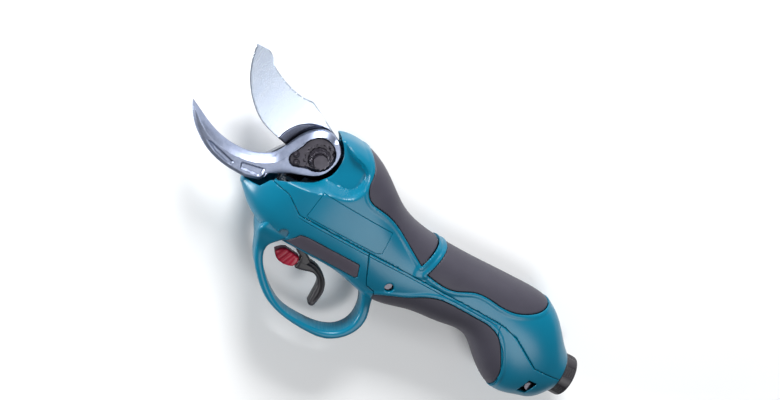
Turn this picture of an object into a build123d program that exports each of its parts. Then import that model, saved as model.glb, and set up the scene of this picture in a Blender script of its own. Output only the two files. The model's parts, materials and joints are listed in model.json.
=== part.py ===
"""Battery electric pruner, handheld unit: casing, grips, blades, ball-screw drive, motor, trigger and inlet.

The tool lies on its far side. +X runs along the handle from the blades to the connector, +Y towards the
back of the hand and +Z up, towards the side with the blade nut. Everything is drawn about the blade pivot,
with the cutting mid-plane at Z = 0, and moved at the end so that the origin is the middle of the bottom
of the whole tool's box.
"""

from build123d import *
import math
import os

# ---- driving dimensions, millimetres ----
head_half_width = 23.5      # casing at the blade head, half its size along Z
grip_half_width = 20.0      # casing at the hand grip
butt_half_width = 22.0      # casing at the butt
handle_length = 146.0       # from the back of the guard to the connector face
wall = 2.2                  # casing wall
pad_thickness = 1.8         # rubber grip pads let into the casing
seam_gap = 0.15             # gap left round the label panel
rest_flat = 0.5             # depth of the flat on the far side that the tool lies on
near_floor = 10.0           # floor of the hollow round the blade eye, near side
far_floor = 14.5            # and on the far side
hollow_slope = 28.0         # degrees its sides lean out

blade_thickness = 4.0       # moving blade
blade_gap = 0.05            # running gap on each face of the moving blade
counter_thickness = 7.0     # fixed counter blade
bolt_radius = 5.0           # pivot bolt shank
bolt_end_radius = 4.2       # threaded end that shows in the nut
nut_radius = 7.0            # pivot nut flange
bush_thickness = 1.2        # bronze bush pressed into the moving blade
hub_radius = 15.5           # round hub of the moving blade
recess_depth = 3.5          # teardrop recess round the nut
frame_screw_radius = 2.0
lock_screw_radius = 1.0
blade_travel = 38.0         # degrees from open to closed
running = 0.04              # radial clearance of a shaft in its bearing

yoke_radius = 25.0          # pivot to the yoke pin on the blade's tail arm
yoke_pin_radius = 2.5
slot_clearance = 0.2        # each side of the yoke pin in the crosshead slot
cheek_thickness = 4.0       # crosshead cheeks, one on each side of the tail arm
cheek_gap = 0.4
screw_radius = 4.0          # drive screw
drive_nut_radius = 7.5
drive_nut_length = 16.0
drive_drop = 12.7           # drive axis below the lowest yoke pin position

gear_module = 0.65
sun_teeth, planet_teeth, ring_teeth = 12, 12, 36
pressure_angle = 25.0
gear_backlash = 0.16
gear_width = 7.0
planet_pin_radius = 1.5
bearing_outer, bearing_width = 11.0, 7.0
case_wall = 1.0
motor_radius = 14.0
motor_length = 55.0
shaft_radius = 2.0

guard_width = 18.0          # trigger guard strip, along Z
trigger_width = 9.0
trigger_boss_radius = 3.4
trigger_pin_radius = 1.6
trigger_pin_reach = 11.0    # half the length of the trigger pin
lock_pin_radius = 1.0
magnet_radius = 1.5

connector_drop = 50.4       # connector axis below the pivot
inlet_radius = 10.4         # round inlet that the supply plug enters
socket_radius = 8.6
socket_depth = 11.0
collar_radius = 14.0
collar_length = 9.0
collar_clearance = 0.3
contact_radius = 1.0

screw_head_radius = 2.6     # casing screws
screw_head_thickness = 1.8
casing_screw_radius = 1.3
screw_reach = 9.0           # most that a shank goes in below its head
screw_well_depth = 3.2      # skin to the top of the head
boss_radius = 3.6

# ---- places that follow from them ----
pin_rise = yoke_radius * math.cos(math.radians(blade_travel / 2))
drive_y = -(yoke_radius + drive_drop)
drive_travel = 2 * yoke_radius * math.sin(math.radians(blade_travel / 2))
handle_start = 66.0
handle_end = handle_start + handle_length
half_blade = blade_thickness / 2
counter_low = half_blade + blade_gap
counter_high = counter_low + counter_thickness
plate_top = -(half_blade + blade_gap)             # front of the pivot pad
plate_low = -(max(half_blade + cheek_gap + cheek_thickness, drive_nut_radius) + 0.5)
plate_back = plate_low - 4.0
screw_start = -drive_travel / 2 - drive_nut_length / 2 - 1.0
bearing_start = drive_travel / 2 + drive_nut_length / 2 + 6.5
carrier_start = bearing_start + bearing_width + 2.2
carrier_thickness = 3.5
gear_start = carrier_start + carrier_thickness + 0.4
gear_end = gear_start + gear_width
case_end = gear_end + 1.2
motor_start = case_end + 3.0
motor_end = motor_start + motor_length
ring_root = gear_module * (ring_teeth / 2 + 0.85)
ring_radius = ring_root + 1.1
case_radius = ring_radius + case_wall
planet_orbit = gear_module * (sun_teeth + planet_teeth) / 2
inlet_start = handle_end - 16.0
collar_start = handle_end + collar_clearance
collar_end = collar_start + collar_length
inlet_end = collar_end - 1.4
trigger_pivot = (17.0, -52.5)
lock_pivot = (24.5, -64.6)
frame_screw_place = (-28.0, -26.5)      # ties the counter blade to the gear case
lock_screw_places = ((-14.3, -3.9), (-11.6, -8.3))


# ---- small helpers ----
def flat(*points):
    """Face in the XY plane with straight sides."""
    return make_face(Polyline(*points, close=True))


def curved(*runs):
    """Face in the XY plane bounded by straight and curved runs that join end to end."""
    return make_face(Wire([edge for run in runs for edge in run.edges()]))


def slab(face, low, high):
    """Face of the XY plane as a plate from Z = low to Z = high."""
    return extrude(Pos(0, 0, low) * face, high - low, dir=(0, 0, 1))


def disc(radius, low, high, at=(0, 0)):
    """Round plate or pin along Z."""
    return Pos(at[0], at[1], low) * Cylinder(radius, high - low, align=(Align.CENTER, Align.CENTER, Align.MIN))


def rod(radius, start, end, y=None, z=0.0):
    """Round bar along X, on the drive axis unless y is given."""
    place = Pos(start, drive_y if y is None else y, z) * Rot(0, 90, 0)
    return place * Cylinder(radius, end - start, align=(Align.CENTER, Align.CENTER, Align.MIN))


def pad_box(start, end, low_y, high_y, low, high):
    """Rectangular block from its six limits."""
    size = (end - start, high_y - low_y, high - low)
    middle = ((start + end) / 2, (low_y + high_y) / 2, (low + high) / 2)
    return Pos(*middle) * Box(*size)


# ---- casing outline ----
def stations(inset=0.0):
    """Cross-sections of the casing: X, top, bottom, half-width and squareness, drawn in by inset."""
    head, grip, butt = head_half_width, grip_half_width, butt_half_width
    rows = [
        (-33.0, -31.5, -37.0, 0.22 * head, 2.2),
        (-28.0, -24.0, -42.0, 0.46 * head, 2.4),
        (-20.0, -13.0, -48.5, 0.70 * head, 2.6),
        (-10.0, 3.0, -53.4, 0.87 * head, 2.8),
        (2.0, 17.0, -56.0, 0.96 * head, 3.0),
        (14.0, 20.6, -56.4, head, 3.1),
        (28.0, 18.8, -56.6, head, 3.1),
        (42.0, 12.8, -57.2, 0.98 * head, 3.0),
        (54.0, 4.6, -59.2, 0.95 * head, 2.9),
        (handle_start, -3.0, -62.4, 0.4 * head + 0.6 * grip, 2.7),
    ]
    handle = [
        (0.10, -7.6, -63.2, 0.1 * head + 0.9 * grip, 2.6),
        (0.23, -9.5, -58.8, grip, 2.5),
        (0.385, -9.8, -56.4, grip, 2.5),
        (0.53, -9.2, -56.4, 0.8 * grip + 0.2 * butt, 2.5),
        (0.63, -8.8, -67.2, 0.4 * grip + 0.6 * butt, 2.5),
        (0.725, -8.9, -76.6, butt, 2.5),
        (0.81, -11.8, -78.8, butt, 2.4),
        (0.895, -21.0, -75.8, 0.93 * butt, 2.3),
        (0.96, -30.4, -72.0, 0.80 * butt, 2.15),
        (1.0, -(connector_drop - 15.0), -(connector_drop + 15.0), 15.0, 2.0),
    ]
    rows += [(handle_start + share * handle_length, *rest) for share, *rest in handle]
    return [(x, top - inset, low + inset, half - inset, power) for x, top, low, half, power in rows]


def section(x, top, low, half, power, count=20):
    """Superellipse across the handle, as a smooth closed face."""
    middle, rise = (top + low) / 2, (top - low) / 2
    points = []
    for step in range(count):
        angle = 2 * math.pi * step / count
        across, up = math.sin(angle), math.cos(angle)
        y = middle + rise * math.copysign(abs(up) ** (2 / power), up)
        z = half * math.copysign(abs(across) ** (2 / power), across)
        points.append((x, y, z))
    return make_face(Wire([Spline(*points, periodic=True)]))


def casing_block(inset=0.0, first=0, last=None):
    """Solid inside the casing's outline, drawn in by inset, between two stations."""
    rows = stations(inset)[first:last]
    return loft([section(*row) for row in rows])


def skin_height(x, y, inset=0.0):
    """Height of the casing's near skin over the mid-plane at a place seen from the side."""
    rows = stations(inset)
    for one, two in zip(rows, rows[1:]):
        if one[0] <= x <= two[0]:
            share = (x - one[0]) / (two[0] - one[0])
            _, top, low, half, power = (a + share * (b - a) for a, b in zip(one, two))
            offset = min(abs(y - (top + low) / 2) / ((top - low) / 2), 1.0)
            return half * (1 - offset ** power) ** (1 / power)
    return 0.0


# ---- regions of the casing, seen from the side ----
def blade_mouth():
    """Everything in front of and above the casing's edge round the blades."""
    return flat(
        (-70, 60), (-70, -34), (-35, -33), (-25, -30.4), (-21.5, -23.8), (-11, -17.6), (-1.6, -14.2),
        (6.2, -9.8), (10.4, -4), (11, 2.8), (10.6, 10.2), (8.8, 13.4), (4.2, 18), (2, 60),
    )


def scoop_region(grow=0.0):
    """The lowered flank round the blade eye, at the floor of its hollow."""
    face = flat(
        (-60, 60), (-60, -20), (-26, -20), (-9, -15.5), (5, -11), (12, -8.4), (23.6, -6.8), (24, 3), (21.6, 11.8),
        (10, 12.6), (5, 60),
    )
    return offset(face, grow, kind=Kind.INTERSECTION) if grow else face


def below_seam():
    """Everything under the long parting line between the upper and lower casing."""
    return flat(
        (-70, -22.5), (-22, -22.7), (-8, -24.8), (3.5, -32.8), (152, -34.6), (158, -35.2), (168, -37.8),
        (190, -50), (250, -51.5), (250, -140), (-70, -140),
    )


def front_of_guard_seam():
    """Everything in front of the short upright parting line behind the trigger guard."""
    return flat(
        (-70, 0), (54.5, 0), (54.5, -34.6), (62, -49), (65, -53.6), (72, -55.2), (74.5, -62), (78.5, -66.5),
        (84, -72), (84, -140), (-70, -140),
    )


def front_pad_region():
    """Pad over the back of the head, from the blade mouth to the narrow of the handle."""
    return curved(
        Polyline((18, 40), (18, 26), (26.5, 19)),
        Spline((26.5, 19), (30.8, 12), (31.8, 3), (36, -3.6), (48, -6.8), (62, -11.2), (73, -17.2), (88, -25.8)),
        Spline((88, -25.8), (90.6, -18.5), (92.8, -11.5), (96, -2)),
        Polyline((96, -2), (96, 40), (18, 40)),
    )


def rear_pad_region():
    """Pad along the top of the handle to the butt."""
    return curved(
        Spline((94, -29), (97, -20), (99.4, -12), (102, -2)),
        Polyline((102, -2), (102, 20), (200, 20), (200, -8), (180, -8.5)),
        Spline((180, -8.5), (177.4, -12.8), (167, -20.8), (157, -24.3), (146, -24.8)),
        Spline((146, -24.8), (127, -25), (117, -29.4), (94, -29)),
    )


def lower_pad_region():
    """Pad under the handle, from the guard to the bulge of the butt."""
    return curved(
        Polyline((72, -90), (72, -70), (70.5, -58.6)),
        Spline((70.5, -58.6), (80, -53.4), (92, -48), (101, -42.6), (110, -39.2), (124, -38.4), (146, -38.7)),
        Spline((146, -38.7), (155, -41.4), (165.5, -52.4), (172.5, -64), (175.5, -80)),
        Polyline((175.5, -80), (175.5, -100), (72, -100), (72, -90)),
    )


def label_region():
    """Film panel over the trigger."""
    return flat((11.5, -44), (6.5, -54), (56, -53), (57, -51.4), (53.2, -43.2), (16, -43))


# ---- casing ----
def screw_places():
    """Casing screws on the near side: X, Y and how far in the boss may reach."""
    return [
        (2.8, -48.4, drive_nut_radius + 1.0),
        (handle_start + 12.0, -47.8, motor_radius - 1.2),
        (handle_end - 15.5, -64.0, 4.0),
    ]


def screw_seat(x, y):
    """Height of the shoulder under a casing screw's head, down its well."""
    return skin_height(x, y) - screw_well_depth - screw_head_thickness


def casing_screws():
    """Pan-head screws down their wells, in line with their bosses."""
    screws = []
    for x, y, depth in screw_places():
        seat = screw_seat(x, y)
        shank = disc(casing_screw_radius, max(depth + 0.4, seat - screw_reach), seat, (x, y))
        screws += [disc(screw_head_radius, seat, seat + screw_head_thickness, (x, y)) + shank]
    return Compound(children=screws)


def trigger_bosses():
    """Round bosses on both sides of the trigger that carry its pin."""
    x, y = trigger_pivot
    gap, reach = trigger_width / 2 + 0.6, trigger_pin_reach + 2.0
    return disc(trigger_boss_radius, gap, reach, (x, y)) + disc(trigger_boss_radius, -reach, -gap, (x, y))


def eye_hollow(thickness=0.0):
    """Room cut from both flanks round the blade eye, with sides that slope out to the skin. With a
    thickness it is larger all round by that much, which is what the cavity behind it keeps clear of."""
    face = scoop_region(thickness)
    near = Pos(0, 0, near_floor - thickness) * extrude(face, 16, taper=-hollow_slope)
    far = Pos(0, 0, thickness - far_floor) * extrude(face, 12, dir=(0, 0, -1), taper=-hollow_slope)
    return near, far


def casing_shell():
    """Hollow casing before it is parted: mouth, scoops, trigger slot, wells and the inlet's hole."""
    inner_inset = wall + pad_thickness
    outer = casing_block()
    for hollow in eye_hollow():
        outer -= hollow
    outer -= slab(flat((-90, 90), (300, 90), (300, -200), (-90, -200)), -60, -head_half_width + rest_flat)
    cavity = casing_block(inner_inset, 1, -1)
    for hollow in eye_hollow(wall):
        cavity -= hollow
    shell = outer - cavity
    for x, y, depth in screw_places():
        shell += disc(boss_radius, depth, skin_height(x, y) - 0.6, (x, y)) & casing_block(0.8)
    shell -= slab(blade_mouth(), -60, 60)
    for x, y, depth in screw_places():
        seat = screw_seat(x, y)
        shell -= disc(screw_head_radius + 0.3, seat, 60, (x, y))
        shell -= disc(casing_screw_radius, max(depth + 0.4, seat - screw_reach), seat, (x, y))
    slot_half = trigger_width / 2 + 0.5
    shell -= pad_box(11.0, 35.0, -70.0, -50.0, -slot_half, slot_half)
    shell -= rod(inlet_radius, handle_end - 20, handle_end + 5, -connector_drop)
    return shell


def guard_strip():
    """Flat loop under the head that keeps the trigger finger safe."""
    outer = [(-11.7, -54.7), (-8.3, -62.2), (-3, -73.2), (4.5, -82.8), (16.9, -93.3), (33, -99.3), (50, -101.2)]
    outer += [(63.5, -100.1), (73.2, -94.4), (79.4, -85.6), (80.8, -77), (77, -65)]
    inner = [(66.6, -60), (71.5, -67.5), (74.4, -77), (73.6, -84.6), (69, -91.4), (60, -95.8), (45, -97)]
    inner += [(31, -95.4), (17.5, -87.9), (7, -77.9), (1.6, -69.8), (0.6, -62.6), (4.5, -56)]
    face = curved(
        Spline(*outer), Line(outer[-1], inner[0]), Spline(*inner), Line(inner[-1], outer[0])
    )
    return slab(face, -guard_width / 2, guard_width / 2)


def casing_parts():
    """The casing shell parted into upper casing, guard casing and lower casing, with pads and label."""
    shell = casing_shell()
    deep = casing_block(pad_thickness)
    skin = casing_block() - deep
    skin_under = casing_block() - casing_block(pad_thickness - 0.1)
    pads = {}
    for name, region in (
        ("front_grip_pad", front_pad_region()),
        ("rear_grip_pad", rear_pad_region()),
        ("lower_grip_pad", lower_pad_region()),
    ):
        block = slab(region, -60, 60)
        shell -= skin & block
        pads[name] = skin_under & block
    below = slab(below_seam(), -60, 60)
    front = slab(front_of_guard_seam(), -60, 60)
    upper = shell - below
    lower_all = shell & below
    guard = lower_all & front
    lower = lower_all - front
    label_block = slab(label_region(), 4, 60)
    guard = guard + (guard_strip() - casing_block(wall) - pads["lower_grip_pad"])
    guard = guard - label_block + (guard & label_block & casing_block(1.0))
    guard = guard + (trigger_bosses() & casing_block(1.0))
    guard -= disc(trigger_pin_radius, -trigger_pin_reach, trigger_pin_reach, trigger_pivot)
    label = (casing_block(0.1) - casing_block(0.9)) & slab(
        offset(label_region(), -seam_gap, kind=Kind.INTERSECTION), 4, 60
    )
    return {"upper_casing": upper, "guard_casing": guard, "lower_casing": lower, "label_panel": label, **pads}


# ---- blades ----
def moving_blade_outline():
    """Hooked cutting blade: clipped tip, hollow back, bellied edge, round hub and tail arm."""
    blade = curved(
        Line((-68.3, 42.5), (-59.6, 42.5)),
        Spline((-59.6, 42.5), (-56, 40.3), (-53.3, 37), (-46.5, 32.7), (-35, 28.6), (-27, 27.4), (-20.6, 28)),
        Polyline((-20.6, 28), (-3, 15.0), (-4, -6), (-20, -3.6)),
        Spline((-20, -3.6), (-28.3, -1.7), (-41.9, 2.6), (-51, 9.2), (-61.2, 21.7), (-66.4, 34), (-68.3, 42.5)),
    )
    angle = math.radians(-90 - blade_travel / 2)
    pin = (yoke_radius * math.cos(angle), yoke_radius * math.sin(angle))
    arm_half = 4.6
    side = (-math.sin(angle) * arm_half, math.cos(angle) * arm_half)
    arm = flat(
        (side[0], side[1]), (-side[0], -side[1]), (pin[0] - side[0], pin[1] - side[1]),
        (pin[0] + side[0], pin[1] + side[1]),
    )
    return blade + Circle(hub_radius) + arm + Pos(*pin) * Circle(arm_half), pin


def counter_blade_outline():
    """Fixed hook: long curved nose, corner heel and the eye round the bolt."""
    return curved(
        Spline((-84.6, -5.2), (-81.8, -11), (-73.2, -20.4), (-62.6, -27), (-51.1, -30.5), (-35, -31.5)),
        Polyline((-35, -31.5), (-25.3, -28.8), (-22.5, -22.2), (-11.5, -16.1)),
        Spline(
            (-11.5, -16.1), (-2, -12.6), (5.4, -8.3), (9.6, 0), (9.8, 8), (5.6, 14.2), (-3.6, 17.4), (-13, 12.2),
            (-21.2, -3),
        ),
        Spline(
            (-21.2, -3), (-24.6, -9.4), (-30.2, -13.6), (-38, -16.7), (-47, -17.8), (-57, -16.9), (-68.7, -13.1),
            (-77.5, -8.8), (-84.6, -5.2),
        ),
    )


def eye_recess(grow=0.0):
    """Teardrop recess round the bolt."""
    one = Pos(-2.6, 2.4) * Circle(10.8 + grow)
    two = Pos(-12.2, -5.9) * Circle(5.3 + grow)
    return make_hull(one.edges() + two.edges())


def blades():
    """Moving blade with its bush and yoke pin, and the counter blade with its recess and screw holes."""
    outline, pin = moving_blade_outline()
    bush_radius = bolt_radius + running + bush_thickness
    moving = slab(outline, -half_blade, half_blade) - disc(bush_radius, -5, 5)
    moving -= disc(yoke_pin_radius, -5, 5, pin)
    bush = disc(bush_radius, -half_blade, half_blade) - disc(bolt_radius + running, -5, 5)
    reach = half_blade + cheek_gap + cheek_thickness
    yoke_pin = disc(yoke_pin_radius, -reach, reach, pin)
    floor = counter_high - recess_depth
    counter = slab(counter_blade_outline(), counter_low, counter_high)
    counter -= slab(eye_recess(), floor, counter_high + 5)
    counter -= disc(bolt_radius, -5, 30)
    counter -= disc(frame_screw_radius, -5, counter_high - 2.5, frame_screw_place)
    for at in lock_screw_places:
        counter -= disc(lock_screw_radius, counter_low + 1, floor + 1, at)
    return {"moving_blade": moving, "blade_bush": bush, "yoke_pin": yoke_pin, "counter_blade": counter}


def pivot_group():
    """Bolt, nut, lock plate and its two screws, from the far side to the near side."""
    floor = counter_high - recess_depth
    bolt = disc(bolt_radius, plate_back, floor) + disc(bolt_end_radius, floor, counter_high + 4.0)
    head = extrude(Pos(0, 0, plate_back - 4.5) * RegularPolygon(8.5, 6), 4.5, dir=(0, 0, 1))
    nut = disc(nut_radius, floor, floor + 1.8)
    nut += extrude(Pos(0, 0, floor + 1.8) * RegularPolygon(nut_radius - 0.9, 6), 3.4, dir=(0, 0, 1))
    nut -= disc(bolt_end_radius, floor - 1, floor + 12)
    plate = slab(eye_recess(-0.3), floor, floor + 2.0) - disc(nut_radius + 0.25, floor - 1, floor + 9)
    plate &= pad_box(-30, 3, -30, 30, 0, 20)
    screws = []
    for at in lock_screw_places:
        plate -= disc(lock_screw_radius, floor - 1, floor + 9, at)
        head_disc = disc(2.1 * lock_screw_radius, floor + 2, floor + 3.6, at)
        screws += [head_disc + disc(lock_screw_radius, counter_low + 1, floor + 2, at)]
    return {
        "pivot_bolt": bolt + head, "pivot_nut": nut, "lock_plate": plate,
        "lock_plate_screws": Compound(children=screws),
    }


# ---- drive ----
def gear_case():
    """Aluminium casting: plate behind the blades, pivot pad, and the barrel of the gear train."""
    eye, boss = Circle(13.0), Pos(*frame_screw_place) * Circle(4.2)
    foot = Pos(bearing_start - 6, drive_y + 6) * Circle(6.0)
    arm = slab(make_hull(eye.edges() + boss.edges()), plate_back, plate_low)
    case = slab(make_hull(eye.edges() + foot.edges()), plate_back, plate_low)
    shell_band = casing_block() - casing_block(wall + pad_thickness + 0.2)
    case += arm - (shell_band - slab(offset(blade_mouth(), -0.3, kind=Kind.INTERSECTION), -60, 60))
    case += disc(12.0, plate_low, plate_top) + disc(3.0, plate_low, counter_low - 0.02, frame_screw_place)
    case += rod(case_radius, bearing_start - 2.0, case_end)
    case -= rod(bearing_outer - 2.0, bearing_start - 3, bearing_start)
    case -= rod(bearing_outer, bearing_start, bearing_start + bearing_width + 1.2)
    case -= rod(ring_radius, bearing_start + bearing_width + 1.2, case_end)
    case -= disc(bolt_radius, -40, 20)
    case -= disc(frame_screw_radius, -40, 20, frame_screw_place)
    screw = disc(frame_screw_radius, plate_back, counter_high - 2.5, frame_screw_place)
    screw += disc(3.6, plate_back - 2.2, plate_back, frame_screw_place)
    return {"gear_case": case, "frame_screw": screw}


def crosshead_and_screw():
    """Ball nut in its crosshead, and the drive screw with the planet carrier on its end."""
    middle = -drive_travel / 2
    half = drive_nut_length / 2
    insert_radius = drive_nut_radius - 1.3
    crosshead = rod(drive_nut_radius, middle - half, middle + half)
    cheek_top = -pin_rise + yoke_pin_radius + slot_clearance + 2.2
    for side in (1, -1):
        near, far = side * (half_blade + cheek_gap), side * (half_blade + cheek_gap + cheek_thickness)
        crosshead += pad_box(middle - 6.2, middle + 6.2, drive_y, cheek_top, min(near, far), max(near, far))
    slot_half = yoke_pin_radius + slot_clearance
    crosshead -= pad_box(
        middle - slot_half, middle + slot_half, -yoke_radius - slot_half - 0.2, -pin_rise + slot_half, -9, 9
    )
    crosshead -= rod(insert_radius, middle - half - 1, middle + half + 1)
    nut = rod(insert_radius, middle - half, middle + half)
    nut -= rod(screw_radius + running, middle - half - 1, middle + half + 1)
    spindle = rod(screw_radius, screw_start, carrier_start)
    carrier = rod(planet_orbit + 2.4, carrier_start, carrier_start + carrier_thickness)
    pins = []
    for place in planet_places():
        carrier -= rod(planet_pin_radius, carrier_start - 1, gear_start, *place)
        pins += [rod(planet_pin_radius, carrier_start, gear_end, *place)]
    return {
        "crosshead": crosshead, "ball_nut": nut, "drive_screw": spindle, "planet_carrier": carrier,
        "planet_pins": Compound(children=pins),
    }


def planet_places():
    """Y and Z of the three planet axes."""
    turns = [math.radians(90 + 120 * number) for number in range(3)]
    return [(drive_y + planet_orbit * math.cos(a), planet_orbit * math.sin(a)) for a in turns]


def involute_half_angle(teeth, radius):
    """Half the angle that a tooth fills at a radius, with its share of the backlash taken off."""
    pitch = gear_module * teeth / 2
    base = pitch * math.cos(math.radians(pressure_angle))
    def roll(r):
        slant = math.acos(min(base / max(r, base), 1.0))
        return math.tan(slant) - slant
    half = math.pi / (2 * teeth) - gear_backlash / 4 / pitch
    return half + roll(pitch) - roll(radius)


def toothed_outline(teeth, tip, root, inside=False):
    """Closed gear profile as straight facets along involute flanks; inside draws a ring gear's hollow."""
    pitch = gear_module * teeth / 2
    points = []
    for number in range(teeth):
        centre = 2 * math.pi * number / teeth
        steps = (root, (root + pitch) / 2, pitch, tip)
        halves = []
        for radius in steps:
            half = involute_half_angle(teeth, radius)
            halves += [half if not inside else half + gear_backlash / 2 / pitch]
        flank = list(zip(steps, halves))
        for radius, half in flank:
            points += [(radius * math.cos(centre - half), radius * math.sin(centre - half))]
        for radius, half in reversed(flank):
            points += [(radius * math.cos(centre + half), radius * math.sin(centre + half))]
    return flat(*points)


def gear_solid(outline, start, end, place, turn):
    """Gear outline as a wheel along X at (Y, Z), turned by an angle in degrees about its axis."""
    wheel = extrude(outline, end - start, dir=(0, 0, 1))
    return Pos(start, place[0], place[1]) * Rot(0, 90, 0) * Rot(0, 0, turn) * wheel


def gear_train():
    """Sun, three planets and the fixed ring, in mesh."""
    addendum, dedendum = 0.75 * gear_module, 0.95 * gear_module
    sizes = {teeth: gear_module * teeth / 2 for teeth in (sun_teeth, planet_teeth, ring_teeth)}
    sun_outline = toothed_outline(sun_teeth, sizes[sun_teeth] + addendum, sizes[sun_teeth] - dedendum)
    planet_outline = toothed_outline(
        planet_teeth, sizes[planet_teeth] + addendum, sizes[planet_teeth] - dedendum
    )
    hollow = toothed_outline(ring_teeth, sizes[ring_teeth] + 0.85 * gear_module,
                             sizes[ring_teeth] - addendum, inside=True)
    centre = (drive_y, 0.0)
    parts = {"sun_gear": gear_solid(sun_outline - Circle(shaft_radius), gear_start, gear_end, centre, 0)}
    ring = Circle(ring_radius) - hollow
    parts["ring_gear"] = gear_solid(ring, gear_start - 0.2, gear_end + 0.6, centre, 180 / ring_teeth)
    planet = planet_outline - Circle(planet_pin_radius + running)
    for number, place in enumerate(planet_places()):
        turn = 180 / planet_teeth
        parts[f"planet_gear_{number + 1}"] = gear_solid(planet, gear_start, gear_end, place, turn)
    return parts


def bearings():
    """Screw bearing with its retaining ring."""
    start, end = bearing_start, bearing_start + bearing_width
    bearing = rod(bearing_outer, start, end) - rod(screw_radius + running, start - 1, end + 1)
    ring = rod(bearing_outer, end, end + 1.2) - rod(bearing_outer - 2.2, end - 1, end + 2)
    return {"screw_bearing": bearing, "bearing_circlip": ring}


def motor():
    """Brushless motor: adapter plate, can, stator and coils, magnet rotor, shaft, bearings and end cap."""
    start, end = motor_start, motor_end
    inner = motor_radius - 1.2
    adapter = rod(case_radius, case_end, start) - rod(6.0, case_end - 1, start + 1)
    can = rod(motor_radius, start, end) - rod(inner, start + 2.5, end + 1) - rod(5.0, start - 1, start + 3)
    front = rod(5.0, start, start + 2.5) - rod(shaft_radius + running, start - 1, start + 4)
    cap = rod(motor_radius, end, end + 3.5) - rod(4.5, end - 1, end + 5)
    rear = rod(4.5, end, end + 3.5) - rod(shaft_radius + running, end - 1, end + 5)
    rotor_radius = 0.545 * motor_radius
    stator = rod(inner, start + 8, end - 8) - rod(rotor_radius + 0.6, start, end)
    coils = []
    for low, high in ((start + 4, start + 8), (end - 8, end - 4)):
        coils += [rod(inner - 0.8, low, high) - rod(rotor_radius + 1.2, start, end)]
    magnets = rod(rotor_radius, start + 8, end - 8) - rod(shaft_radius, start, end)
    shaft = rod(shaft_radius, gear_start - 0.1, end + 3.0)
    return {
        "motor_adapter": adapter, "motor_can": can, "motor_bearings": Compound(children=[front, rear]),
        "motor_end_cap": cap, "stator_core": stator, "stator_coils": Compound(children=coils),
        "rotor_magnets": magnets, "rotor_shaft": shaft,
    }


# ---- controls ----
def trigger_group():
    """Finger trigger on its pin, lock lever in the trigger's fork, return spring and position magnet."""
    half = trigger_width / 2
    px, py = trigger_pivot
    arm = flat(
        (px - 3, py - 2), (20, -59), (24, -61), (24, -68.9), (31.6, -67), (31, -60.8), (px + 3.5, py - 1.5)
    )
    hook = curved(
        Polyline((27, -68.4), (27, -61)),
        Spline((27, -61), (33.7, -60.9), (40.5, -63.4), (46, -68.4), (48.6, -76.3), (47.9, -84.3)),
        Line((47.9, -84.3), (43.0, -83.6)),
        Spline((43.0, -83.6), (42.6, -77), (41.2, -70), (37.2, -66.8), (31.6, -67), (27, -68.4)),
    )
    body = slab(arm, -half, half) + slab(hook, -half + 0.4, half - 0.4)
    body += disc(trigger_boss_radius, -half, half, trigger_pivot)
    body -= pad_box(px - 6, px + 6.5, py - 5.2, py + 5, 0.9, half + 1)
    body -= pad_box(20.5, 27.2, -68.0, -55.0, -1.9, 1.9)
    body -= disc(trigger_pin_radius + running, -9, 9, trigger_pivot)
    body -= disc(lock_pin_radius, -half + 1.2, half - 1.2, lock_pivot)
    magnet_place = (27.8, -62.6)
    body -= disc(magnet_radius, -1.9, half + 1, magnet_place)
    magnet = disc(magnet_radius, -1.9, half - 0.4, magnet_place)
    lever = curved(
        Polyline((23.6, -62), (19.4, -61), (13, -60.4), (7.4, -65)),
        Spline((7.4, -65), (10.2, -68.4), (15, -70.2), (19.5, -69.9)),
        Polyline((19.5, -69.9), (22.5, -69), (23.6, -65.4), (23.6, -62)),
    )
    tongue = Pos(*lock_pivot) * Circle(2.2) + flat((19, -66.8), (19, -62.4), (24.5, -62.4), (24.5, -66.8))
    lock = slab(lever, -half + 0.3, half - 0.3) + slab(tongue, -1.6, 1.6)
    lock -= disc(lock_pin_radius + running, -9, 9, lock_pivot)
    pin = disc(lock_pin_radius, -half + 1.2, half - 1.2, lock_pivot)
    coil = sweep(
        Plane(origin=(2.6, 0, 0), x_dir=(1, 0, 0), z_dir=(0, 1, 0)) * Circle(0.4),
        path=Helix(pitch=0.9, height=2.4, radius=2.6),
    )
    spring = Pos(px, py, 1.5) * coil
    trigger_pin = disc(trigger_pin_radius, -trigger_pin_reach, trigger_pin_reach, trigger_pivot)
    return {
        "trigger": body, "trigger_magnet": magnet, "lock_lever": lock, "lock_lever_pin": pin,
        "trigger_spring": spring, "trigger_pin": trigger_pin,
    }


def electronics():
    """Position sensor over the trigger, and the motor drive board with its power parts."""
    sensor = pad_box(22.5, 28.5, drive_y - case_radius - 2.0, drive_y - case_radius - 0.1, -3, 3)
    start, end = motor_end + 9.0, inlet_start - 8.0
    board = pad_box(start, end, drive_y - 10, drive_y + 14, -1.6, 0)
    transistors = [
        pad_box(start + 5 + 9 * i, start + 11 + 9 * i, drive_y - 8, drive_y + 1, 0, 2.4) for i in range(6)
    ]
    capacitors = [disc(5.0, 0, 12.0, (start + 12 + 12 * i, drive_y + 8)) for i in range(3)]
    return {
        "position_sensor": sensor, "drive_board": board, "power_transistors": Compound(children=transistors),
        "capacitors": Compound(children=capacitors),
    }


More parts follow.
